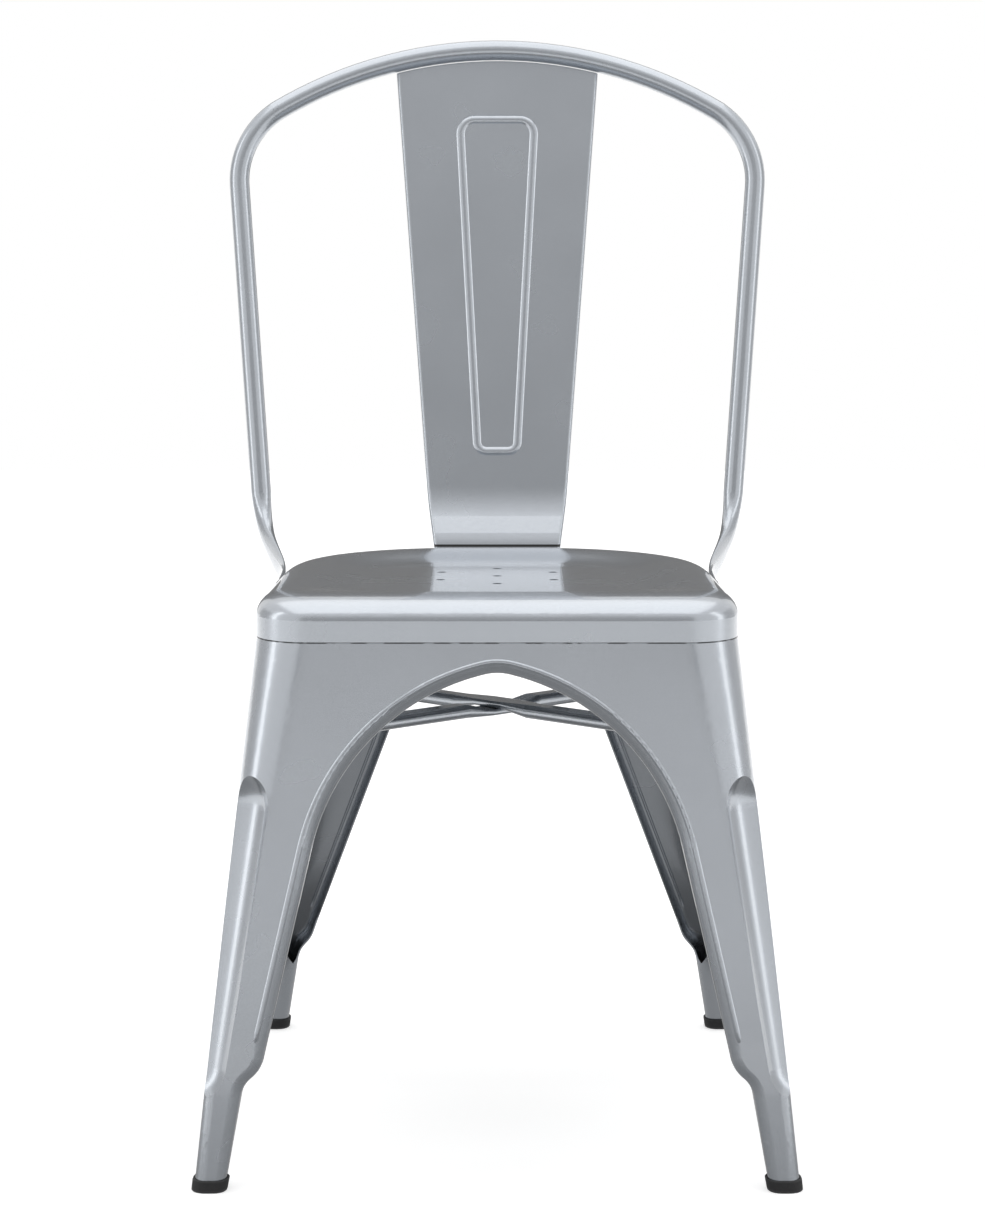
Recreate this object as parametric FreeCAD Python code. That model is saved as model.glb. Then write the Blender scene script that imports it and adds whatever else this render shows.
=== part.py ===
import FreeCAD, Part
import math
import os

# Metal bistro chair: a dished sheet steel seat on four pressed sheet steel legs, a bent tube
# back hoop with a pressed sheet splat, two flattened tubes crossed under the seat, and
# a rubber cap on each foot. Millimetres, +Z up, +X to the right as seen from the front,
# -Y towards the front. The origin is on the floor under the middle of the chair.

# Overall sizes
TOTAL_HEIGHT = 850.0
SEAT_HEIGHT = 431.5
SKIRT_DEPTH = 32.5
SHEET = 1.2
FIT_GAP = 0.3

# Plan of the seat, and of the four legs' outside at the floor
SEAT_HALF_WIDTH = 179.4
SEAT_FRONT = -206.0
SEAT_BACK = 151.0
FLOOR_HALF_WIDTH = 222.1
FLOOR_FRONT = -250.3
FLOOR_BACK = 250.3
SIDE_TAPER = 0.0315
FRONT_CORNER = 43.0
REAR_CORNER = 130.0

# Seat pan
RIM_RADIUS = 17.0
RIM_FLARE = 16.0
FRONT_FLARE = 20.0
DISH_DEPTH = 7.5
DISH_SLOPE_WIDTH = 52.0
DISH_CORNER = 50.0
DRAIN_HOLE = 7.0
DRAIN_CIRCLE_RADIUS = 51.0
DRAIN_CENTRE_Y = -2.0
DRAIN_COUNT = 6
RIM_STEPS = 5
DISH_STEPS = 6

# Legs: widths of a leg's face are measured in from its outer corner line
COLLAR_HEIGHT = 13.0
TUBE_WIDTH = 22.5
TUBE_CORNER = 9.0
TUBE_TOP_WIDTH = 28.0
TUBE_TOP = 77.0
SHOULDER_HEIGHT = 88.5
FRONT_SHOULDER_WIDTH = 40.0
REAR_SHOULDER_WIDTH = 37.5
FRONT_WIDENING = 0.1248
REAR_WIDENING = 0.275
SHOULDER_RADIUS = 24.0
THROAT_RADIUS = 20.0
ARCH_DROP = 22.4
ARCH_PITCH = 15.0
APEX_RADIUS = 40.0
FRONT_ARCH_RADIUS = 170.0
REAR_ARCH_RADIUS = 90.0
SIDE_ARCH_RADIUS = 150.0
EDGE_ROUND = 8.0
FLANGE_DEPTH = 12.0
SLIT_FOOT = 58.0
SLIT_JOIN = 73.0
SLIT_TOP = 102.0

# Flute pressed into the corner of each leg
FLUTE_RADIUS = 32.0
FLUTE_DROP = 94.0
FLUTE_FOOT = 73.0
FLUTE_TOP_WIDTH = 35.5
FLUTE_FOOT_WIDTH = 20.5

# Bead pressed along the arch edge
BEAD_RADIUS = 2.5
BEAD_HEIGHT = 0.9
BEAD_SETBACK = 8.4
BEAD_FOOT_SHARE = 0.93
BEAD_DIP = 14.0
BEAD_DIP_RADIUS = 30.0

# Rubber caps
CAP_WALL = 1.6
CAP_FLOOR = 3.0
CAP_HEIGHT = 9.0
CAP_EDGE_ROUND = 0.8

# Back hoop
TUBE_DIAMETER = 16.5
TUBE_WALL = 1.5
BACK_OFFSET = 12.8
BACK_LEAN = 0.176
HOOP_SHOULDER_RADIUS = 70.0
HOOP_CROWN_HALF = 101.0
HOOP_SHOULDER_X = 219.6
HOOP_SHOULDER_DROP = 79.5
HOOP_SIDE_TAPER = 0.0745
HOOP_BEND_RISE = 13.7
HOOP_BEND_RADIUS = 50.0
HOOP_BEND_WIDTH = 20.5
HOOP_BEND_THICKNESS = 10.0
HOOP_BEND_STEPS = 4

# Flattened foot of the hoop, in steps: distance in front of the seat's back, extra gap to the
# line of the skirt, drop below the seat's top, width and thickness of the flattened tube
HOOP_FOOT = [(43.0, 6.5, 8.5, 22.5, 6.5), (76.0, -0.3, 17.0, 20.0, 4.4), (106.0, -0.2, 21.5, 17.0, 3.6),
             (123.0, 0.0, 22.8, 17.0, 3.6), (141.0, 0.0, 23.0, 17.0, 3.6)]

# Splat
SPLAT_TOP_HALF = 86.2
SPLAT_WAIST_HALF = 58.0
SPLAT_FOOT_HALF = 53.0
SPLAT_WAIST_RISE = 34.5
SPLAT_BEND_RISE = 0.5
SPLAT_FOOT_RISE = 3.0
SPLAT_FLANGE = 9.0
SPLAT_SETBACK = 2.0
SPLAT_EDGE_ROUND = 3.0
SPLAT_WAIST_RADIUS = 70.0
SPLAT_BEND_RADIUS = 40.0
SPLAT_SIDE_RADIUS = 300.0
PANEL_TOP_DROP = 66.5
PANEL_FOOT_RISE = 76.0
PANEL_TOP_HALF = 31.5
PANEL_FOOT_HALF = 16.5
PANEL_TOP_RADIUS = 12.0
PANEL_FOOT_RADIUS = 8.0
PANEL_BEAD_WIDTH = 7.0
PANEL_BEAD_HEIGHT = 1.4

# Cross brace
BRACE_WIDTH = 20.0
BRACE_HEIGHT = 10.5
BRACE_CROSS_WIDTH = 24.0
BRACE_CROSS_HEIGHT = 5.2
BRACE_DROP = 75.8
BRACE_CROSS_Y = -18.0
BRACE_PLAN_SLOPE = 1.15
BRACE_RISE = -0.022
BRACE_NECK = 42.0
BRACE_PINCH = 16.0
BRACE_ROUNDING = 0.45

# Worked out from the sizes above
SEAM_HEIGHT = SEAT_HEIGHT - SKIRT_DEPTH
ARCH_TOP = SEAM_HEIGHT - ARCH_DROP
FLUTE_TOP = SEAM_HEIGHT - FLUTE_DROP
BRACE_Z = SEAM_HEIGHT - BRACE_DROP
BACK_SEAT_Y = SEAT_BACK + BACK_OFFSET
HOOP_TOP_Z = TOTAL_HEIGHT - TUBE_DIAMETER / 2
HOOP_SHOULDER_Z = TOTAL_HEIGHT - HOOP_SHOULDER_DROP
HOOP_BEND_Z = SEAT_HEIGHT + HOOP_BEND_RISE
SPLAT_WAIST_Z = SEAT_HEIGHT + SPLAT_WAIST_RISE
SPLAT_BEND_Z = SEAT_HEIGHT + SPLAT_BEND_RISE
SPLAT_FOOT_Z = SEAM_HEIGHT + SPLAT_FOOT_RISE
PANEL_TOP_Z = TOTAL_HEIGHT - PANEL_TOP_DROP
PANEL_FOOT_Z = SEAT_HEIGHT + PANEL_FOOT_RISE
MIDDLE_Y = (SEAT_FRONT + SEAT_BACK) / 2
OVER = 20.0
NEAR = 0.001
TOUCH = SHEET / 10
STEEP = 0.5
UP = FreeCAD.Vector(0, 0, 1)


def vec(x, y, z=0.0):
    return FreeCAD.Vector(x, y, z)


def rising(at_floor, at_seam, z):
    """Value at height z of a straight line from the floor to the seam under the seat."""
    return at_floor + (at_seam - at_floor) * z / SEAM_HEIGHT


def rounded_wire(corners, closed):
    """Wire through corner points, each rounded by an arc of its own radius."""
    count = len(corners)
    edges = []
    arcs = []
    for i, (point, radius) in enumerate(corners):
        if not closed and i in (0, count - 1) or radius == 0:
            arcs.append((point, None, point))
            continue
        back = (corners[i - 1][0] - point).normalize()
        ahead = (corners[(i + 1) % count][0] - point).normalize()
        half_angle = back.getAngle(ahead) / 2
        reach = radius / math.tan(half_angle)
        middle = (back + ahead).normalize()
        centre = point + middle * (radius / math.sin(half_angle))
        arcs.append((point + back * reach, centre - middle * radius, point + ahead * reach))
    for i in range(count):
        start, through, end = arcs[i]
        if through is not None:
            edges.append(Part.Arc(start, through, end).toShape())
        if i == count - 1 and not closed:
            break
        following = arcs[(i + 1) % count][0]
        if end.distanceToPoint(following) > NEAR:
            edges.append(Part.LineSegment(end, following).toShape())
    return Part.Wire(edges)


# Leg faces


def front_y(z):
    return rising(FLOOR_FRONT, SEAT_FRONT, z)


def face_y(end, z):
    """Y of the front or rear face of the legs at height z."""
    if end == "front":
        return front_y(z)
    return rising(FLOOR_BACK, SEAT_BACK, z)


def side_x(y, z):
    """X of the right-hand side face at the given depth and height."""
    return rising(FLOOR_HALF_WIDTH, SEAT_HALF_WIDTH, z) - SIDE_TAPER * (y - front_y(z))


def outer_corner(end, z):
    """Sharp corner where a leg's two outer faces would meet."""
    y = face_y(end, z)
    return vec(side_x(y, z), y, z)


def corner_radius(end, z):
    top = FRONT_CORNER if end == "front" else REAR_CORNER
    if z <= TUBE_TOP:
        return TUBE_CORNER
    return TUBE_CORNER + (top - TUBE_CORNER) * (z - TUBE_TOP) / (SEAM_HEIGHT - TUBE_TOP)


def quarter_outline(end, z, inset, radius, overrun, plan_z=None):
    """Plan of one quarter of the chair's base, its outer corner rounded."""
    plan_z = z if plan_z is None else plan_z
    way = -1 if end == "front" else 1
    stretch = math.hypot(1, SIDE_TAPER)
    y = face_y(end, plan_z) - way * inset
    round_y = y - way * radius
    round_x = side_x(round_y, plan_z) - (inset + radius) * stretch
    centre = vec(round_x, round_y, z)
    side_normal = vec(1, SIDE_TAPER).normalize()
    end_normal = vec(0, way)
    on_end = centre + end_normal * radius
    on_side = centre + side_normal * radius
    middle = centre + (end_normal + side_normal).normalize() * radius
    inner_y = MIDDLE_Y - way * overrun
    side_end = vec(side_x(inner_y, plan_z) - inset * stretch, inner_y, z)
    points = [vec(-overrun, y, z), on_end]
    edges = [Part.LineSegment(*points).toShape(), Part.Arc(on_end, middle, on_side).toShape()]
    rest = [on_side, side_end, vec(-overrun, inner_y, z), points[0]]
    edges += [Part.LineSegment(a, b).toShape() for a, b in zip(rest, rest[1:])]
    return Part.Wire(edges)


def face_frame(face):
    """Placement with X level along a face, Y up its slope and Z out of it."""
    if face == "side":
        origin = vec(side_x(MIDDLE_Y, 0), MIDDLE_Y, 0)
        along = vec(-SIDE_TAPER, 1).normalize()
        top = vec(side_x(MIDDLE_Y, SEAM_HEIGHT), MIDDLE_Y, SEAM_HEIGHT)
    else:
        origin = vec(0, face_y(face, 0), 0)
        along = vec(1 if face == "front" else -1, 0)
        top = vec(0, face_y(face, SEAM_HEIGHT), SEAM_HEIGHT)
    out = along.cross(top - origin).normalize()
    up = out.cross(along)
    matrix = FreeCAD.Matrix(along.x, up.x, out.x, origin.x, along.y, up.y, out.y, origin.y,
                            along.z, up.z, out.z, origin.z, 0, 0, 0, 1)
    return FreeCAD.Placement(matrix)


def shifted(corners, distance):
    """Corners (x, y, radius) of a path moved to its left, with its radii kept concentric."""
    count = len(corners)
    moved = []
    for i, (x, y, radius) in enumerate(corners):
        here = vec(x, y)
        back = (here - vec(*corners[max(i - 1, 0)][:2])) if i > 0 else None
        ahead = (vec(*corners[min(i + 1, count - 1)][:2]) - here) if i < count - 1 else None
        one = (back or ahead).normalize()
        two = (ahead or back).normalize()
        left_one = vec(-one.y, one.x)
        left_two = vec(-two.y, two.x)
        place = here + (left_one + left_two) * (distance / (1 + left_one.dot(left_two)))
        turn = one.cross(two).z
        bend = radius - math.copysign(distance, turn) if radius else 0
        moved.append((place.x, place.y, bend))
    return moved


def arch_path(end, face, setback):
    """Corners of a leg's inner edge on one face, from mid chair down past the floor."""
    frame = face_frame(face)
    low = frame.inverse().multVec(outer_corner(end, 0))
    high = frame.inverse().multVec(outer_corner(end, SEAM_HEIGHT))
    slope = high.y / SEAM_HEIGHT
    way = 1 if low.x > 0 else -1
    shoulder = FRONT_SHOULDER_WIDTH if end == "front" else REAR_SHOULDER_WIDTH
    widening = FRONT_WIDENING if end == "front" else REAR_WIDENING
    arch_radius = {"side": SIDE_ARCH_RADIUS, "front": FRONT_ARCH_RADIUS,
                   "rear": REAR_ARCH_RADIUS}[face]
    corner_rate = way * (high.x - low.x) / SEAM_HEIGHT
    tube_rate = (TUBE_TOP_WIDTH - TUBE_WIDTH) / TUBE_TOP

    def edge(z, width):
        return way * low.x + corner_rate * z - width

    rate = corner_rate - widening
    start = edge(SHOULDER_HEIGHT, shoulder) - rate * SHOULDER_HEIGHT
    pitch = math.tan(math.radians(ARCH_PITCH))
    apex_x = APEX_RADIUS * math.tan(math.radians(ARCH_PITCH) / 2)
    peak = ARCH_TOP + apex_x * pitch
    turn_x = (start + rate * peak) / (1 + rate * pitch)
    outline = [
        (-2 * OVER, ARCH_TOP, 0),
        (apex_x, ARCH_TOP, APEX_RADIUS),
        (turn_x, peak - turn_x * pitch, arch_radius),
        (edge(SHOULDER_HEIGHT, shoulder), SHOULDER_HEIGHT, SHOULDER_RADIUS),
        (edge(TUBE_TOP, TUBE_TOP_WIDTH), TUBE_TOP, THROAT_RADIUS),
        (edge(-2 * OVER, TUBE_WIDTH - 2 * tube_rate * OVER), -2 * OVER, 0),
    ]
    sloped = [(x, z * slope, radius) for x, z, radius in outline]
    return [(way * x, y, radius) for x, y, radius in shifted(sloped, setback)]


def in_frame(frame, corners, depth=0.0):
    return [(frame.multVec(vec(x, y, -depth)), radius) for x, y, radius in corners]


def arch_cutter(end, face, inset):
    """Solid that cuts the arch opening on one face, enlarged by inset."""
    frame = face_frame(face)
    path = arch_path(end, face, inset)
    path.append((path[0][0], path[-1][1], 0))
    profile = Part.Face(rounded_wire(in_frame(frame, path, -OVER), closed=True))
    out = frame.Rotation.multVec(UP)
    return profile.extrude(out * (FLOOR_FRONT - FLOOR_BACK))


def leg_faces(end):
    return (end, "side")


def leg_loft(end, inset, low, top, overrun):
    heights = [low, TUBE_TOP, top]
    outlines = []
    for z in heights:
        radius = max(corner_radius(end, z) - inset, SHEET / 2)
        outlines.append(quarter_outline(end, z, inset, radius, overrun))
    return Part.makeLoft(outlines, True, True).removeSplitter()


def arch_edges(body, end, face, inset):
    """Edges of a body where an arch opening meets the leg's outer face."""
    frame = face_frame(face)
    line = rounded_wire(in_frame(frame, arch_path(end, face, inset), inset), closed=False)
    found = []
    for edge in body.Edges:
        first, last = edge.ParameterRange
        quarter = (last - first) / 4
        spots = [edge.valueAt(first + quarter * step) for step in (1, 2, 3)]
        if max(Part.Vertex(spot).distToShape(line)[0] for spot in spots) < TOUCH:
            found.append(edge)
    return found


def round_tube(body, inset):
    """Round the inner corner of the closed tube, below the slit."""
    reach = FLOOR_BACK - FLOOR_FRONT
    below = Part.makeBox(reach, reach, SLIT_JOIN + reach, vec(-2 * OVER, -reach / 2, -reach))
    tube = body.common(below)
    upright = [e for e in tube.Edges if abs(e.tangentAt(e.FirstParameter).z) > STEEP]
    inner = min(upright, key=lambda e: math.hypot(e.CenterOfMass.x, e.CenterOfMass.y))
    tube = tube.makeFillet(TUBE_CORNER - inset, [inner])
    return tube.fuse(body.cut(below)).removeSplitter()


def flute_tool(end, grow):
    """Round-nosed bar that presses the flute into a leg's corner."""
    out = vec(1, -1 if end == "front" else 1).normalize()

    def axis_point(z, width):
        half = width / 2
        radius = corner_radius(end, z)
        rise = math.sqrt(FLUTE_RADIUS ** 2 - half ** 2)
        if half < radius / math.sqrt(2):
            reach = math.sqrt(radius ** 2 - half ** 2) + rise - radius * math.sqrt(2)
        else:
            reach = rise - half
        depth = FLUTE_RADIUS - reach - radius * (math.sqrt(2) - 1)
        nose = math.sqrt(FLUTE_RADIUS ** 2 - (FLUTE_RADIUS - depth) ** 2)
        return outer_corner(end, z) + out * reach, nose

    nose = axis_point(FLUTE_TOP, FLUTE_TOP_WIDTH)[1]
    top = axis_point(FLUTE_TOP - nose, FLUTE_TOP_WIDTH)[0]
    nose = axis_point(FLUTE_FOOT, FLUTE_FOOT_WIDTH)[1]
    foot = axis_point(FLUTE_FOOT + nose, FLUTE_FOOT_WIDTH)[0]
    axis = (top - foot).normalize()
    across = axis.cross(out).normalize()
    radius = FLUTE_RADIUS + grow
    slant = math.sqrt(0.5)
    ends = [foot - axis * radius, foot + across * radius, top + across * radius, top + axis * radius]
    outline = Part.Wire([
        Part.Arc(ends[0], foot + (across - axis) * radius * slant, ends[1]).toShape(),
        Part.LineSegment(ends[1], ends[2]).toShape(),
        Part.Arc(ends[2], top + (across + axis) * radius * slant, ends[3]).toShape(),
        Part.LineSegment(ends[3], ends[0]).toShape()])
    return Part.Face(outline).revolve(foot, axis, 360)


def arch_bead(end, face, grow, overrun):
    """Half-round bead that follows the arch edge on one face and dips into it at its foot."""
    frame = face_frame(face)
    start, apex, turn, shoulder = arch_path(end, face, BEAD_SETBACK)[:4]
    depth = BEAD_RADIUS - BEAD_HEIGHT
    last = vec(*turn[:2])
    run = vec(*shoulder[:2]) - last
    foot = last + run * BEAD_FOOT_SHARE
    dip = foot + run.normalize() * BEAD_DIP
    path = in_frame(frame, [start, apex, turn, (foot.x, foot.y, BEAD_DIP_RADIUS)], depth)
    path += in_frame(frame, [(dip.x, dip.y, 0)], depth + 2 * BEAD_RADIUS)
    radius = BEAD_RADIUS - grow
    spine = rounded_wire(path, closed=False)
    ahead = (path[1][0] - path[0][0]).normalize()
    circle = Part.Wire(Part.Circle(path[0][0], ahead, radius).toShape())
    bead = spine.makePipeShell([circle], True, False)
    reach = FLOOR_BACK - FLOOR_FRONT
    keep_y = MIDDLE_Y - reach + overrun if end == "front" else MIDDLE_Y - overrun
    keep = Part.makeBox(reach, reach, reach, vec(-overrun, keep_y, 0))
    return bead.common(keep)


def leg_form(end, inset):
    """Solid within a leg's outer surface, or within its sheet when inset by the sheet."""
    overrun = OVER if inset else 0.0
    low = CAP_FLOOR - overrun
    top = SEAM_HEIGHT - FIT_GAP - inset
    body = leg_loft(end, inset, low, top, overrun)
    for face in leg_faces(end):
        body = body.cut(arch_cutter(end, face, inset))
    for face in leg_faces(end):
        body = body.makeFillet(EDGE_ROUND - inset, arch_edges(body, end, face, inset))
    body = round_tube(body, inset)
    for face in leg_faces(end):
        body = body.fuse(arch_bead(end, face, inset, overrun))
    body = body.cut(flute_tool(end, inset))
    tuck = SHEET + FIT_GAP + inset
    top_radius = corner_radius(end, SEAM_HEIGHT) - tuck
    collar_foot = SEAM_HEIGHT - COLLAR_HEIGHT
    collar = Part.Face(quarter_outline(end, collar_foot, tuck, top_radius, overrun, SEAM_HEIGHT))
    return body.fuse(collar.extrude(UP * (2 * COLLAR_HEIGHT + overrun)))


def leg_core(end):
    """Space inside a leg that the turned-in flanges leave open, closing to a slit."""
    steps = [(SLIT_FOOT, TUBE_TOP_WIDTH), (SLIT_JOIN, TUBE_TOP_WIDTH - TUBE_CORNER - SHEET),
             (SLIT_TOP, FLANGE_DEPTH), (SEAM_HEIGHT, FLANGE_DEPTH)]
    outlines = []
    for z, inset in steps:
        radius = max(corner_radius(end, z) - inset, SHEET / 2)
        outlines.append(quarter_outline(end, z, inset, radius, OVER))
    radius = corner_radius(end, SEAM_HEIGHT) - FLANGE_DEPTH
    outlines.append(quarter_outline(end, SEAM_HEIGHT + OVER, FLANGE_DEPTH, radius, OVER,
                                    SEAM_HEIGHT))
    return Part.makeLoft(outlines, True, True).cut(flute_tool(end, SHEET))


def leg(end):
    """Right-hand leg: sheet shell with arch flanges and a closed tube foot."""
    return leg_form(end, 0.0).cut(leg_form(end, SHEET)).cut(leg_core(end))


def mirrored(shape):
    return shape.mirror(vec(0, 0), vec(1, 0))


def build_legs():
    parts = {}
    for end in ("front", "rear"):
        right = leg(end)
        parts["leg_%s_right" % end] = right
        parts["leg_%s_left" % end] = mirrored(right)
    return parts


# Rubber caps


def plan_crossing(one, two, z, grow):
    """Point at height z where two planes cross, each moved out by grow."""
    (normal_a, point_a), (normal_b, point_b) = one, two
    rest_a = normal_a.dot(point_a) - normal_a.z * z + grow * math.hypot(normal_a.x, normal_a.y)
    rest_b = normal_b.dot(point_b) - normal_b.z * z + grow * math.hypot(normal_b.x, normal_b.y)
    det = normal_a.x * normal_b.y - normal_a.y * normal_b.x
    return vec((rest_a * normal_b.y - rest_b * normal_a.y) / det,
               (normal_a.x * rest_b - normal_b.x * rest_a) / det, z)


def tube_planes(end):
    """Outward normal and a point of the tube foot's sides, in order round the tube."""
    outer = []
    inner = []
    for face in leg_faces(end):
        frame = face_frame(face)
        out = frame.Rotation.multVec(UP)
        outer.append((out, frame.Base))
        high, low = [point for point, _ in in_frame(frame, arch_path(end, face, 0)[-2:])]
        normal = (high - low).cross(out).normalize()
        middle = vec(0, MIDDLE_Y, low.z) - low
        inner.append((normal if normal.dot(middle) > 0 else normal * -1, low))
    return [outer[1], outer[0], inner[0], inner[1]]


def tube_outline(end, z, grow):
    """Plan of the closed tube foot at height z, grown all round."""
    planes = tube_planes(end)
    radii = [TUBE_CORNER, EDGE_ROUND, TUBE_CORNER, EDGE_ROUND]
    corners = [plan_crossing(planes[k], planes[(k + 1) % 4], z, grow) for k in range(4)]
    return rounded_wire([(p, r + grow) for p, r in zip(corners, radii)], closed=True)


def foot_cap(end):
    outside = [tube_outline(end, z, FIT_GAP + CAP_WALL) for z in (0, CAP_HEIGHT)]
    inside = [tube_outline(end, z, FIT_GAP) for z in (CAP_FLOOR, CAP_HEIGHT + CAP_FLOOR)]
    cap = Part.makeLoft(outside, True, True)
    sole = [e for e in cap.Edges if e.BoundBox.ZMax < NEAR]
    rim = [e for e in cap.Edges if e.BoundBox.ZMin > CAP_HEIGHT - NEAR]
    cap = cap.makeChamfer(CAP_EDGE_ROUND, sole + rim)
    return cap.cut(Part.makeLoft(inside, True, True))


def build_caps():
    parts = {}
    for end in ("front", "rear"):
        right = foot_cap(end)
        parts["foot_cap_%s_right" % end] = right
        parts["foot_cap_%s_left" % end] = mirrored(right)
    return parts


# Seat pan


def seat_outline(inset, z, dish_share=0.0, flare_share=0.0):
    """Plan of the seat, a square that narrows to the back, with large rear corners."""
    front_x = side_x(SEAT_FRONT, SEAM_HEIGHT)
    rear_x = side_x(SEAT_BACK, SEAM_HEIGHT) - RIM_FLARE * flare_share
    front = SEAT_FRONT + FRONT_FLARE * flare_share
    corners = [(front_x, front, FRONT_CORNER), (rear_x, SEAT_BACK, REAR_CORNER),
               (-rear_x, SEAT_BACK, REAR_CORNER), (-front_x, front, FRONT_CORNER)]
    ring = corners[-1:] + corners + corners[:1]
    inner = shifted(ring, inset)[1:-1]
    rounded = []
    for (x, y, radius), (_, _, corner) in zip(inner, corners):
        crest = corner - RIM_RADIUS
        radius = radius if dish_share == 0 else crest + (DISH_CORNER - crest) * dish_share
        rounded.append((vec(x, y, z), radius))
    return rounded_wire(rounded, closed=True)


def seat_profile(inset):
    """Steps (distance in, height, shares of dish and flare) over the rim into the dish."""
    steps = []
    for k in range(RIM_STEPS + 1):
        angle = math.pi / 2 * k / RIM_STEPS
        radius = RIM_RADIUS - inset
        steps.append((RIM_RADIUS - radius * math.cos(angle),
                      SEAT_HEIGHT - RIM_RADIUS + radius * math.sin(angle),
                      0, 1 - math.cos(angle)))
    for k in range(1, DISH_STEPS + 1):
        share = k / DISH_STEPS
        angle = math.pi * share
        tilt = math.atan(DISH_DEPTH / DISH_SLOPE_WIDTH * math.pi / 2 * math.sin(angle))
        drop = DISH_DEPTH * (1 - math.cos(angle)) / 2
        steps.append((RIM_RADIUS + DISH_SLOPE_WIDTH * share - inset * math.sin(tilt),
                      SEAT_HEIGHT - drop - inset * math.cos(tilt), share, 1))
    return steps


def seat_form(inset):
    """Solid under the seat's outer surface, or under its sheet when inset by the sheet."""
    steps = seat_profile(inset)
    low = SEAM_HEIGHT - (OVER if inset else 0)
    skirt_top = steps[0][1]
    skirt = Part.Face(seat_outline(inset, low)).extrude(UP * (skirt_top - low))
    crown = Part.makeLoft([seat_outline(*step) for step in steps], True, False)
    return skirt.fuse(crown)


def seat_pan():
    seat = seat_form(0.0).cut(seat_form(SHEET))
    spots = [vec(0, DRAIN_CENTRE_Y)]
    for k in range(DRAIN_COUNT):
        angle = 2 * math.pi * k / DRAIN_COUNT
        spots.append(vec(DRAIN_CIRCLE_RADIUS * math.sin(angle),
                         DRAIN_CENTRE_Y + DRAIN_CIRCLE_RADIUS * math.cos(angle)))
    for spot in spots:
        seat = seat.cut(Part.makeCylinder(DRAIN_HOLE / 2, TOTAL_HEIGHT, spot))
    return seat


# Back hoop


def back_point(x, z, behind=0.0):
    """Point on the leaning plane of the back, or behind it."""
    lean = BACK_LEAN * (z - SEAT_HEIGHT)
    return vec(x, BACK_SEAT_Y + lean + behind * math.hypot(1, BACK_LEAN), z)


def hoop_corners():
    """Corner points of the tube's centre line, from the crown down the right-hand side."""
    crown = back_point(HOOP_CROWN_HALF, HOOP_TOP_Z)
    shoulder = back_point(HOOP_SHOULDER_X, HOOP_SHOULDER_Z)
    bend_x = HOOP_SHOULDER_X - HOOP_SIDE_TAPER * (HOOP_SHOULDER_Z - HOOP_BEND_Z)
    return back_point(0, HOOP_TOP_Z), crown, shoulder, back_point(bend_x, HOOP_BEND_Z)


def crown_radius():
    """Radius of the crown's arc, which fills the top from the middle to its corner point."""
    middle, crown, shoulder = hoop_corners()[:3]
    turn = (shoulder - crown).getAngle(crown - middle)
    return HOOP_CROWN_HALF / math.tan(turn / 2)


def oval(centre, direction, wide, thick):
    """Oval outline across the tube, its long way upright."""
    along = vec(direction.x, direction.y, direction.z).normalize()
    tall = (UP - along * UP.dot(along)).normalize()
    side = along.cross(tall)
    matrix = FreeCAD.Matrix(tall.x, side.x, along.x, centre.x, tall.y, side.y, along.y, centre.y,
                            tall.z, side.z, along.z, centre.z, 0, 0, 0, 1)
    if wide - thick > NEAR:
        curve = Part.Ellipse(vec(0, 0), wide / 2, thick / 2)
    else:
        curve = Part.Circle(vec(0, 0), UP, wide / 2)
    shape = Part.Wire(curve.toShape())
    shape.Placement = FreeCAD.Placement(matrix)
    return shape


def hoop_foot():
    """Foot of the right-hand side, bent and flattened into a tongue along the seat's skirt."""
    shoulder, bend = hoop_corners()[2:]
    spots = []
    for forward, clear, drop, wide, thick in HOOP_FOOT:
        y = SEAT_BACK - forward
        x = side_x(y, SEAM_HEIGHT) + FIT_GAP + clear + thick / 2
        spots.append((vec(x, y, SEAT_HEIGHT - drop), wide, thick))
    down = (bend - shoulder).normalize()
    ahead = (spots[0][0] - bend).normalize()
    turn = down.getAngle(ahead)
    inward = (ahead - down * math.cos(turn)).normalize()
    start = bend - down * (HOOP_BEND_RADIUS * math.tan(turn / 2))
    sections = []
    for k in range(HOOP_BEND_STEPS + 1):
        share = k / HOOP_BEND_STEPS
        way = down * math.cos(turn * share) + inward * math.sin(turn * share)
        place = start + (down * math.sin(turn * share)
                         + inward * (1 - math.cos(turn * share))) * HOOP_BEND_RADIUS
        sections.append(oval(place, way, TUBE_DIAMETER + (HOOP_BEND_WIDTH - TUBE_DIAMETER) * share,
                             TUBE_DIAMETER + (HOOP_BEND_THICKNESS - TUBE_DIAMETER) * share))
    places = [bend] + [place for place, _, _ in spots] + [spots[-1][0]]
    for i, (place, wide, thick) in enumerate(spots):
        sections.append(oval(place, places[i + 2] - places[i], wide, thick))
    return start, Part.makeLoft(sections, True, False)


def hoop_pipe(diameter, foot):
    """Right-hand half of the round tube, from mid chair down to where its foot begins."""
    middle, crown, shoulder = hoop_corners()[:3]
    path = rounded_wire([(middle, 0), (crown, crown_radius()), (shoulder, HOOP_SHOULDER_RADIUS),
                         (foot, 0)], closed=False)
    circle = Part.Wire(Part.Circle(middle, vec(1, 0), diameter / 2).toShape())
    return path.makePipeShell([circle], True, False)


def back_hoop():
    foot, tongue = hoop_foot()
    tube = hoop_pipe(TUBE_DIAMETER, foot).cut(hoop_pipe(TUBE_DIAMETER - 2 * TUBE_WALL, foot))
    half = tube.fuse(tongue)
    return half.fuse(mirrored(half)).removeSplitter()


# Splat


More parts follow.
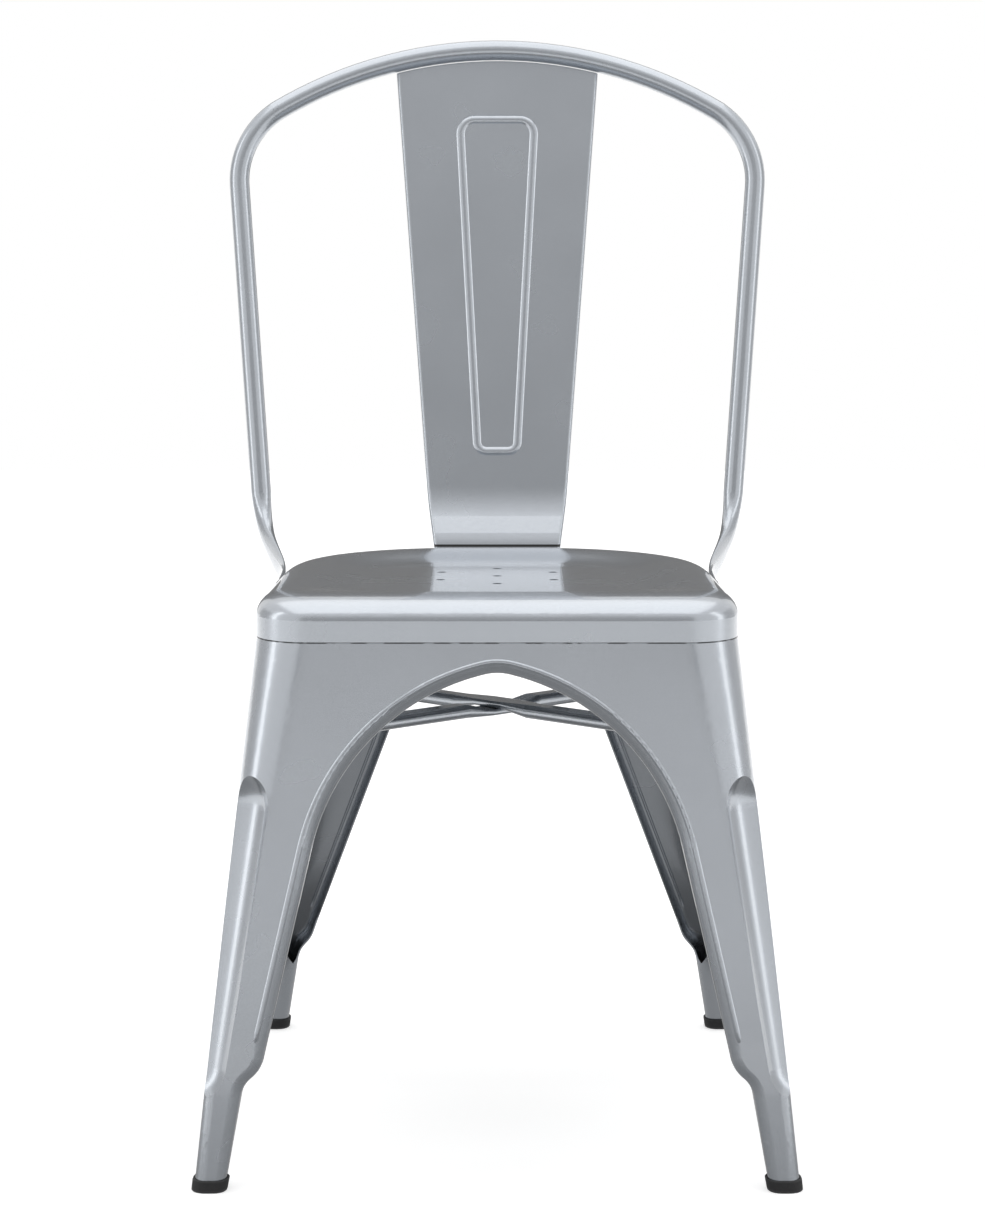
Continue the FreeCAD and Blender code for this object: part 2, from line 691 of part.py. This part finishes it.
def splat_path():
    """Side view (y, z, radius) of the splat's front face, from the top down."""
    top = back_point(0, TOTAL_HEIGHT, SPLAT_SETBACK)
    waist = back_point(0, SPLAT_WAIST_Z, SPLAT_SETBACK)
    seat_y = SEAT_BACK + FIT_GAP
    return [(top.y, top.z, 0), (waist.y, waist.z, SPLAT_WAIST_RADIUS),
            (seat_y, SPLAT_BEND_Z, SPLAT_BEND_RADIUS), (seat_y, SPLAT_FOOT_Z, 0)]


def splat_form(inset):
    """Solid within the splat's face and turned edges, or within its sheet when inset."""
    front = shifted(splat_path(), inset)
    back = shifted(splat_path(), SPLAT_FLANGE + (OVER if inset else 0))
    low = SPLAT_FOOT_Z - (OVER if inset else 0)
    front[-1] = (front[-1][0], low, 0)
    back[-1] = (back[-1][0], low, 0)
    outline = [(vec(-SPLAT_TOP_HALF - OVER, y, z), r) for y, z, r in front + back[::-1]]
    slab = Part.Face(rounded_wire(outline, closed=True)).extrude(vec(2 * SPLAT_TOP_HALF + 2 * OVER, 0))
    rate = (SPLAT_TOP_HALF - SPLAT_WAIST_HALF) / (HOOP_TOP_Z - SPLAT_WAIST_Z)
    low_rate = (SPLAT_WAIST_HALF - SPLAT_FOOT_HALF) / (SPLAT_WAIST_Z - SPLAT_BEND_Z)
    high_z = TOTAL_HEIGHT + OVER
    right = [(SPLAT_TOP_HALF + rate * (high_z - HOOP_TOP_Z), high_z, 0),
             (SPLAT_WAIST_HALF, SPLAT_WAIST_Z, SPLAT_SIDE_RADIUS),
             (SPLAT_FOOT_HALF - low_rate * (SPLAT_BEND_Z - low), low, 0)]
    shape = [(x - inset, z, r) for x, z, r in right]
    shape += [(-x, z, r) for x, z, r in shape[::-1]]
    sides = Part.Face(rounded_wire([(vec(x, SEAT_FRONT, z), r) for x, z, r in shape], closed=True))
    body = slab.common(sides.extrude(vec(0, FLOOR_BACK - FLOOR_FRONT)))
    body = body.makeFillet(SPLAT_EDGE_ROUND - inset, splat_edges(body, inset))
    return body.fuse(panel_bead(inset))


def splat_edges(body, inset):
    """Long edges between the splat's face and its turned sides."""
    front = [(vec(0, y, z), r) for y, z, r in shifted(splat_path(), inset)]
    front[-1] = (front[-1][0] - UP * 2 * OVER, 0)
    line = rounded_wire(front, closed=False)
    found = []
    for edge in body.Edges:
        spot = edge.valueAt(sum(edge.ParameterRange) / 2)
        level = vec(0, spot.y, spot.z)
        lengthwise = abs(edge.tangentAt(edge.FirstParameter).x) < STEEP
        if lengthwise and Part.Vertex(level).distToShape(line)[0] < TOUCH:
            found.append(edge)
    return found


def panel_bead(grow):
    """Raised half-round bead that frames a tapered panel on the splat."""
    half_width = PANEL_BEAD_WIDTH / 2
    radius = (half_width ** 2 + PANEL_BEAD_HEIGHT ** 2) / (2 * PANEL_BEAD_HEIGHT)
    sink = SPLAT_SETBACK + radius - PANEL_BEAD_HEIGHT
    corners = [(-PANEL_TOP_HALF, PANEL_TOP_Z, PANEL_TOP_RADIUS),
               (PANEL_TOP_HALF, PANEL_TOP_Z, PANEL_TOP_RADIUS),
               (PANEL_FOOT_HALF, PANEL_FOOT_Z, PANEL_FOOT_RADIUS),
               (-PANEL_FOOT_HALF, PANEL_FOOT_Z, PANEL_FOOT_RADIUS)]
    ring = rounded_wire([(back_point(x, z, sink), r) for x, z, r in corners], closed=True)
    first = ring.OrderedEdges[0]
    start = first.valueAt(first.FirstParameter)
    circle = Part.Circle(start, first.tangentAt(first.FirstParameter), radius - grow)
    return ring.makePipeShell([Part.Wire(circle.toShape())], True, False)


def back_splat():
    splat = splat_form(0.0).cut(splat_form(SHEET))
    under_tube = crown_radius() - TUBE_DIAMETER / 2 - FIT_GAP
    middle = back_point(0, HOOP_TOP_Z)
    down = (back_point(0, SPLAT_WAIST_Z) - middle).normalize()
    out = vec(1, 0).cross(down)
    centre = middle + down * crown_radius()
    disc = Part.makeCylinder(under_tube, 4 * OVER, centre - out * 2 * OVER, out)
    return splat.common(disc)


# Cross brace


def brace_section(centre, direction, wide, tall):
    side = direction.cross(UP).normalize() * (wide / 2)
    rise = side.cross(direction).normalize() * (tall / 2)
    corners = [centre + side + rise, centre - side + rise, centre - side - rise, centre + side - rise]
    return rounded_wire([(corner, tall * BRACE_ROUNDING) for corner in corners], closed=True)


def brace_bar(level):
    """Bar from a front leg to the opposite rear leg, pinched over (1) or under (-1) the other."""
    direction = vec(-1, BRACE_PLAN_SLOPE).normalize()
    slope = vec(direction.x, direction.y, BRACE_RISE).normalize()
    middle = vec(0, BRACE_CROSS_Y, BRACE_Z)
    aside = level * (BRACE_CROSS_HEIGHT + FIT_GAP) / 2
    ends = FLOOR_HALF_WIDTH * 2
    plain = (0, BRACE_WIDTH, BRACE_HEIGHT)
    pinched = (aside, BRACE_CROSS_WIDTH, BRACE_CROSS_HEIGHT)
    steps = [(-ends, plain), (-BRACE_NECK, plain), (-BRACE_PINCH, pinched),
             (BRACE_PINCH, pinched), (BRACE_NECK, plain), (ends, plain)]
    sections = [brace_section(middle + slope * reach + UP * lift, slope, wide, tall)
                for reach, (lift, wide, tall) in steps]
    bar = Part.makeLoft(sections, True, True)
    room = {}
    for end in ("front", "rear"):
        inset = SHEET + FIT_GAP
        room[end] = leg_loft(end, inset, CAP_FLOOR, SEAM_HEIGHT, OVER)
    front = bar.common(room["front"])
    rear = bar.common(mirrored(room["rear"]))
    whole = front.fuse(rear).removeSplitter()
    return whole if level > 0 else mirrored(whole)


def build_all():
    parts = {"seat_pan": seat_pan(), "back_hoop": back_hoop(), "back_splat": back_splat(),
             "brace_upper": brace_bar(1), "brace_lower": brace_bar(-1)}
    parts.update(build_legs())
    parts.update(build_caps())
    return parts


def save(parts):
    os.makedirs("parts", exist_ok=True)
    for name, shape in parts.items():
        shape.exportStep("parts/%s.step" % name)
        print(name, shape.isValid(), len(shape.Solids), round(shape.Volume))


save(build_all())
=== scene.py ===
"""A stacking cafe chair of pressed sheet steel in silver grey paint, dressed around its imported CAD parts."""

import math

import bmesh
import bpy
from mathutils import Matrix, Vector

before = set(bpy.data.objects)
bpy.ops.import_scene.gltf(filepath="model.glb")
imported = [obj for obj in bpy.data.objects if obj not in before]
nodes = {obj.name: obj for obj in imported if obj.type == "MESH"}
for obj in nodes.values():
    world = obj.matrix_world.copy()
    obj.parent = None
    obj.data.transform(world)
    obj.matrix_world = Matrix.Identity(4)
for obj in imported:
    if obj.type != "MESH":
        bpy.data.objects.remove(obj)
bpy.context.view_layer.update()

# Legs: four corners pressed from 1.2 mm steel, each a tapered angle whose flanges close into a square foot.
# They are welded under the seat's skirt, where a thin, broken line of painted shade stands for the gap's
# shadow.
# All the steel is baked in one silver grey enamel: tiny flakes and slight clouds under a clear skin
# with a little orange peel.
LEGS = ["leg_front_left", "leg_front_right", "leg_rear_left", "leg_rear_right"]
PAINT_COLOUR = (0.427, 0.454, 0.49, 1)
PAINT_ROUGHNESS = 0.27
PAINT_METAL = 0.9
CLEAR_SKIN_WEIGHT = 1
CLEAR_SKIN_ROUGHNESS = 0.04
CLOUD_SCALE = 14
CLOUD_DETAIL = 3
CLOUD_SHARE = 0.12
FLAKE_SCALE = 1500
FLAKE_SHARE = 0.1
PEEL_SCALE = 260
PEEL_DETAIL = 1
PEEL_DEPTH = 0.00003

# The seam line is painted shade: colour darkened in a band where the shadow falls in the gap between parts.
# The seam's reaches are shares of its width, from its middle. Its facings are the normal's share along Y.
SEAM_DARK_REACH = 0.35
SEAM_FADED_REACH = 0.5
SEAM_BREAK_SCALE = 70
SEAM_SHADE_FAINT_BELOW = 0.42
SEAM_SHADE_DARK_ABOVE = 0.52
SEAM_SHADE_DARKEST = 0.9
FRONT_FACING = -0.5
SIDE_FACING = -0.2
SKIRT_SEAM_DROP = 0.0005
SKIRT_SEAM_WIDTH = 0.0012
SKIRT_SEAM_FAINT_SHADE = 0.25
skirt_edge = min(corner[2] for corner in nodes["seat_pan"].bound_box)


def reckon(tree, operation, *values):
    """Adds one sum to a node tree. Each value is a socket or a number."""
    node = tree.nodes.new("ShaderNodeMath")
    node.operation = operation
    for value, socket in zip(values, node.inputs):
        if isinstance(value, (int, float)):
            socket.default_value = value
        else:
            tree.links.new(value, socket)
    return node.outputs[0]


def ramp(tree, value, low, high, at_low, at_high, course="SMOOTHSTEP"):
    """Turns a value that runs from low to high into one that runs from at_low to at_high."""
    node = tree.nodes.new("ShaderNodeMapRange")
    node.interpolation_type = course
    for name, number in (("From Min", low), ("From Max", high), ("To Min", at_low), ("To Max", at_high)):
        node.inputs[name].default_value = number
    tree.links.new(value, node.inputs["Value"])
    return node.outputs[0]


def noise(tree, place, scale, detail=2):
    """Adds a soft noise to a node tree, read at a place."""
    node = tree.nodes.new("ShaderNodeTexNoise")
    node.inputs["Scale"].default_value = scale
    node.inputs["Detail"].default_value = detail
    tree.links.new(place, node.inputs["Vector"])
    return node.outputs["Fac"]


def spread(tree, value, share):
    """Turns a 0 to 1 value into a factor round 1, as wide as the share."""
    return reckon(tree, "MULTIPLY_ADD", reckon(tree, "SUBTRACT", value, 0.5), share, 1)


def paint_skin_group():
    """Builds the shared paint effect: clouded colour with flakes, orange peel and a seam line of painted
    shade.
    """
    group = bpy.data.node_groups.new("paint_skin", "ShaderNodeTree")
    sockets = group.interface
    for name, kind in (
            ("Position", "Vector"), ("Facing", "Vector"), ("Colour", "Color"), ("Roughness", "Float"),
            ("Cloud Share", "Float"), ("Flake Share", "Float"), ("Seam Height", "Float"),
            ("Seam Width", "Float"), ("Seam Faint Shade", "Float"), ("Seam All Round", "Float")):
        sockets.new_socket(name, in_out="INPUT", socket_type="NodeSocket" + kind)
    for name, kind in (("Colour", "Color"), ("Roughness", "Float"), ("Peel", "Float")):
        sockets.new_socket(name, in_out="OUTPUT", socket_type="NodeSocket" + kind)
    add, link = group.nodes.new, group.links.new
    given, out = add("NodeGroupInput").outputs, add("NodeGroupOutput").inputs

    flakes = add("ShaderNodeTexVoronoi")
    flakes.inputs["Scale"].default_value = FLAKE_SCALE
    link(given["Position"], flakes.inputs["Vector"])
    clouds = noise(group, given["Position"], CLOUD_SCALE, CLOUD_DETAIL)
    clouded = spread(group, clouds, given["Cloud Share"])
    flaked = spread(group, flakes.outputs["Color"], given["Flake Share"])

    spot, facing = add("ShaderNodeSeparateXYZ"), add("ShaderNodeSeparateXYZ")
    link(given["Position"], spot.inputs[0])
    link(given["Facing"], facing.inputs[0])
    # Painted shade: the colour darkens in a band round the seam's height, on front faces or all round, broken
    # by noise.
    away = reckon(group, "ABSOLUTE", reckon(group, "SUBTRACT", spot.outputs["Z"], given["Seam Height"]))
    widths_away = reckon(group, "DIVIDE", away, given["Seam Width"])
    line = ramp(group, widths_away, SEAM_DARK_REACH, SEAM_FADED_REACH, 1, 0)
    on_front = ramp(group, facing.outputs["Y"], FRONT_FACING, SIDE_FACING, 1, 0)
    shown = reckon(group, "MAXIMUM", on_front, given["Seam All Round"])
    breaks = noise(group, given["Position"], SEAM_BREAK_SCALE)
    patchy_shade = ramp(group, breaks, SEAM_SHADE_FAINT_BELOW, SEAM_SHADE_DARK_ABOVE, 0, SEAM_SHADE_DARKEST)
    shade = reckon(group, "MAXIMUM", patchy_shade, given["Seam Faint Shade"])
    painted_seam_shade = reckon(group, "MULTIPLY", reckon(group, "MULTIPLY", line, shown), shade)

    tinted = add("ShaderNodeVectorMath")
    tinted.operation = "SCALE"
    link(given["Colour"], tinted.inputs[0])
    mottled = reckon(group, "MULTIPLY", clouded, flaked)
    link(reckon(group, "MULTIPLY", mottled, reckon(group, "SUBTRACT", 1, painted_seam_shade)), tinted.inputs["Scale"])
    link(tinted.outputs[0], out["Colour"])
    link(reckon(group, "MULTIPLY", given["Roughness"], clouded), out["Roughness"])
    link(noise(group, given["Position"], PEEL_SCALE, PEEL_DETAIL), out["Peel"])
    return group


def new_finish(name):
    """Makes a material, and gives its node tree and main shader with it."""
    material = bpy.data.materials.new(name)
    material.use_nodes = True
    return material, material.node_tree, material.node_tree.nodes["Principled BSDF"]


def paint(name, seam_height=0, seam_width=SKIRT_SEAM_WIDTH, faint_shade=0, all_round=0):
    """Makes the baked enamel. Its seam line of painted shade lies at one height, and no steel reaches one at
    0.
    """
    material, tree, shader = new_finish(name)
    skin = tree.nodes.new("ShaderNodeGroup")
    skin.node_tree = paint_skin
    place = tree.nodes.new("ShaderNodeTexCoord")
    tree.links.new(place.outputs["Object"], skin.inputs["Position"])
    tree.links.new(place.outputs["Normal"], skin.inputs["Facing"])
    for socket, value in (
            ("Colour", PAINT_COLOUR), ("Roughness", PAINT_ROUGHNESS),
            ("Cloud Share", CLOUD_SHARE), ("Flake Share", FLAKE_SHARE),
            ("Seam Height", seam_height), ("Seam Width", seam_width),
            ("Seam Faint Shade", faint_shade), ("Seam All Round", all_round)):
        skin.inputs[socket].default_value = value
    bump = tree.nodes.new("ShaderNodeBump")
    bump.inputs["Distance"].default_value = PEEL_DEPTH
    tree.links.new(skin.outputs["Peel"], bump.inputs["Height"])
    tree.links.new(bump.outputs["Normal"], shader.inputs["Normal"])
    tree.links.new(skin.outputs["Colour"], shader.inputs["Base Color"])
    tree.links.new(skin.outputs["Roughness"], shader.inputs["Roughness"])
    shader.inputs["Metallic"].default_value = PAINT_METAL
    shader.inputs["Coat Weight"].default_value = CLEAR_SKIN_WEIGHT
    shader.inputs["Coat Roughness"].default_value = CLEAR_SKIN_ROUGHNESS
    return material


def dress(names, material):
    """Gives CAD pieces their finish."""
    for name in names:
        nodes[name].data.materials.clear()
        nodes[name].data.materials.append(material)


paint_skin = paint_skin_group()
# The legs carry a line of painted shade all round, just under the skirt's edge, for the gap's shadow.
skirt_seam = skirt_edge - SKIRT_SEAM_DROP
dress(LEGS, paint("leg_enamel", skirt_seam, SKIRT_SEAM_WIDTH, SKIRT_SEAM_FAINT_SHADE, all_round=1))

# Braces, seat and back hoop: two flattened tubes, a deep drawn pan and a bent tube, welded to the legs
# and to each other. They went through the same paint, and carry no painted seam shade of their own.
dress(["brace_upper", "brace_lower", "seat_pan", "back_hoop"], paint("silver_enamel"))

# Splat: pressed from the same sheet, with turned edges and a raised bead. Its foot goes down behind
# the seat, and a line of painted shade on its front faces stands for the shadow where it passes the seat's
# edge.
SPLAT_SEAM_DROP = 0.0002
SPLAT_SEAM_WIDTH = 0.0024
SPLAT_SEAM_SHADE = 0.98
seat_top = max(corner[2] for corner in nodes["seat_pan"].bound_box)
splat_seam = seat_top - SPLAT_SEAM_DROP
dress(["back_splat"], paint("splat_enamel", splat_seam, SPLAT_SEAM_WIDTH, SPLAT_SEAM_SHADE))

# Foot caps: four thimbles of black moulded rubber, pushed on to the square ends of the legs.
# They are matt, with a fine sparked texture from the mould and a little dust.
FOOT_CAPS = ["foot_cap_front_left", "foot_cap_front_right", "foot_cap_rear_left", "foot_cap_rear_right"]
RUBBER_BLACK = (0.008, 0.008, 0.009, 1)
RUBBER_DUSTY = (0.022, 0.022, 0.024, 1)
RUBBER_ROUGHNESS = 0.6
DUST_SCALE = 60
GRAIN_SCALE = 900
GRAIN_DEPTH = 0.0001
black_rubber, tree, shader = new_finish("black_rubber_mould")
place = tree.nodes.new("ShaderNodeTexCoord")
tint = tree.nodes.new("ShaderNodeValToRGB")
tint.color_ramp.elements[0].color = RUBBER_BLACK
tint.color_ramp.elements[1].color = RUBBER_DUSTY
tree.links.new(noise(tree, place.outputs["Object"], DUST_SCALE), tint.inputs["Fac"])
tree.links.new(tint.outputs["Color"], shader.inputs["Base Color"])
bump = tree.nodes.new("ShaderNodeBump")
bump.inputs["Distance"].default_value = GRAIN_DEPTH
tree.links.new(noise(tree, place.outputs["Object"], GRAIN_SCALE), bump.inputs["Height"])
tree.links.new(bump.outputs["Normal"], shader.inputs["Normal"])
shader.inputs["Roughness"].default_value = RUBBER_ROUGHNESS
dress(FOOT_CAPS, black_rubber)

# Studio: a plain pale floor, white all round, one wide soft light overhead and two strips at the sides.
# Grey cards that only reflections show stand round the set, as a photographer shades shiny paint. Those on
# the floor are painted shade in the reflections: the floor under the chair, darkest where its shadow falls.
WHITE = (1, 1, 1, 1)
BLACK = (0, 0, 0, 1)
UP = (0, 0, 1)
FLOOR_WIDTH = 12
FLOOR_COLOUR = (0.8, 0.8, 0.8, 1)
FLOOR_ROUGHNESS = 0.9
FLOOR_NEAR = 0.8
FLOOR_FAR = 3.5
FLOOR_GLOW_NEAR = 0.59
FLOOR_GLOW_FAR = 0.75
WORLD_LIGHT = 0.55
WORLD_AS_SEEN = 1


def flat_sheet(name, centre, facing, width, height):
    """Makes the mesh of a flat sheet that faces one way."""
    mesh = bpy.data.meshes.new(name)
    shape = bmesh.new()
    bmesh.ops.create_grid(shape, x_segments=1, y_segments=1, size=0.5)
    turn = Vector(facing).to_track_quat("Z", "Y").to_matrix().to_4x4()
    bmesh.ops.scale(shape, vec=(width, height, 1), verts=shape.verts)
    bmesh.ops.transform(shape, matrix=Matrix.Translation(centre) @ turn, verts=shape.verts)
    shape.to_mesh(mesh)
    shape.free()
    return mesh


def put_in_scene(name, data):
    """Puts a sheet, a lamp or the camera into the scene."""
    thing = bpy.data.objects.new(name, data)
    bpy.context.scene.collection.objects.link(thing)
    return thing


def seen_or_mirrored(tree):
    """Gives 1 where the camera looks, straight or by a mirror or glass, and 0 for light on the chair."""
    path = tree.nodes.new("ShaderNodeLightPath")
    seen = reckon(tree, "MAXIMUM", path.outputs["Is Camera Ray"], path.outputs["Is Glossy Ray"])
    return reckon(tree, "MAXIMUM", seen, path.outputs["Is Transmission Ray"])


pale_floor, tree, shader = new_finish("pale_floor")
shader.inputs["Base Color"].default_value = FLOOR_COLOUR
shader.inputs["Roughness"].default_value = FLOOR_ROUGHNESS
shader.inputs["Emission Color"].default_value = WHITE
place = tree.nodes.new("ShaderNodeTexCoord")
reach = tree.nodes.new("ShaderNodeVectorMath")
reach.operation = "LENGTH"
tree.links.new(place.outputs["Object"], reach.inputs[0])
glow = ramp(tree, reach.outputs["Value"], FLOOR_NEAR, FLOOR_FAR, FLOOR_GLOW_NEAR, FLOOR_GLOW_FAR)
tree.links.new(reckon(tree, "MULTIPLY", seen_or_mirrored(tree), glow), shader.inputs["Emission Strength"])
floor = put_in_scene("floor", flat_sheet("floor", (0, 0, 0), UP, FLOOR_WIDTH, FLOOR_WIDTH))
floor.data.materials.append(pale_floor)

world = bpy.data.worlds.new("white_studio")
bpy.context.scene.world = world
world.use_nodes = True
tree = world.node_tree
sky = tree.nodes["Background"]
sky.inputs["Color"].default_value = WHITE
level = ramp(tree, seen_or_mirrored(tree), 0, 1, WORLD_LIGHT, WORLD_AS_SEEN, "LINEAR")
tree.links.new(level, sky.inputs["Strength"])


def soft_light(name, place, target, width, height, power):
    """Hangs a soft box and turns it towards a point."""
    lamp = bpy.data.lights.new(name, "AREA")
    lamp.shape = "RECTANGLE"
    lamp.size, lamp.size_y = width, height
    lamp.energy = power
    holder = put_in_scene(name, lamp)
    holder.location = place
    holder.rotation_euler = (Vector(target) - Vector(place)).to_track_quat("-Z", "Y").to_euler()


def grey_card(name, centre, facing, width, height, foot_level, top_level):
    """Sets up a flat card, graded from foot to top, that is seen in reflections alone."""
    grey, tree, shader = new_finish(name)
    shader.inputs["Base Color"].default_value = BLACK
    shader.inputs["Emission Color"].default_value = WHITE
    place = tree.nodes.new("ShaderNodeTexCoord")
    parts = tree.nodes.new("ShaderNodeSeparateXYZ")
    tree.links.new(place.outputs["Object"], parts.inputs[0])
    foot, top = centre[2] - height / 2, centre[2] + height / 2
    level = ramp(tree, parts.outputs["Z"], foot, top, foot_level, top_level, "LINEAR")
    tree.links.new(level, shader.inputs["Emission Strength"])
    card = put_in_scene(name, flat_sheet(name, centre, facing, width, height))
    card.data.materials.append(grey)
    card.visible_camera = False
    card.visible_diffuse = False
    card.visible_shadow = False


soft_light("overhead", place=(0, 0.3, 2.6), target=(0, 0.3, 0.4), width=2.8, height=3.2, power=22)
soft_light("left_strip", place=(-2.2, -0.4, 1.2), target=(0, 0, 0.45), width=0.45, height=2.2, power=5)
soft_light("right_strip", place=(2.2, -0.4, 1.2), target=(0, 0, 0.45), width=0.45, height=2.2, power=4)

TO_FRONT = (0, -1, 0)
TO_BACK = (0, 1, 0)
TO_LEFT = (-1, 0, 0)
TO_RIGHT = (1, 0, 0)
for name, centre, facing, width, height, foot_level, top_level in (
        ("back_card", (0, 2.4, 1.15), TO_FRONT, 2.4, 1.7, 0.16, 0.16),
        ("front_card", (0, -3.4, 2.05), TO_BACK, 3.4, 2.5, 0.34, 0.84),
        ("low_card", (0, -3.4, 0.4), TO_BACK, 3.4, 0.8, 0.85, 0.85),
        ("left_card", (-3.4, 1.6, 1.0), TO_RIGHT, 2.8, 2.6, 0.6, 0.6),
        ("right_card", (3.4, 1.6, 1.0), TO_LEFT, 2.8, 2.6, 0.65, 0.65)):
    grey_card(name, centre, facing, width, height, foot_level, top_level)

# Floor cards: painted shade and painted shadow for reflections alone, darkest in a strip under the seat.
FLOOR_CARD_WIDTH = 1.8
FLOOR_CARD_LIFT = 0.002
for name, middle, depth, level in (
        ("front_floor_card", -0.9, 1.5, 0.3),
        ("middle_floor_card", -0.055, 0.19, 0.37),
        ("painted_shadow_floor_card", 0.095, 0.11, 0.05),
        ("rear_floor_card", 0.4, 0.5, 0.4)):
    grey_card(name, (0, middle, FLOOR_CARD_LIFT), UP, FLOOR_CARD_WIDTH, depth, level, level)

# Camera: at the photograph's height and distance, looking slightly down. Its side shift puts the chair
# where it stands in the photograph's frame.
CAMERA_PLACE = (0, -2.6, 0.7262)
CAMERA_PITCH = math.radians(7.18)
CAMERA_LENS = 98.49
CAMERA_SENSOR = 36
CAMERA_SIDE_SHIFT = -0.0039
view = bpy.data.cameras.new("camera")
view.lens = CAMERA_LENS
view.sensor_width = CAMERA_SENSOR
view.shift_x = CAMERA_SIDE_SHIFT
camera = put_in_scene("camera", view)
camera.location = CAMERA_PLACE
camera.rotation_euler = (math.pi / 2 - CAMERA_PITCH, 0, 0)
bpy.context.scene.camera = camera
bpy.context.scene.view_settings.view_transform = "Standard"
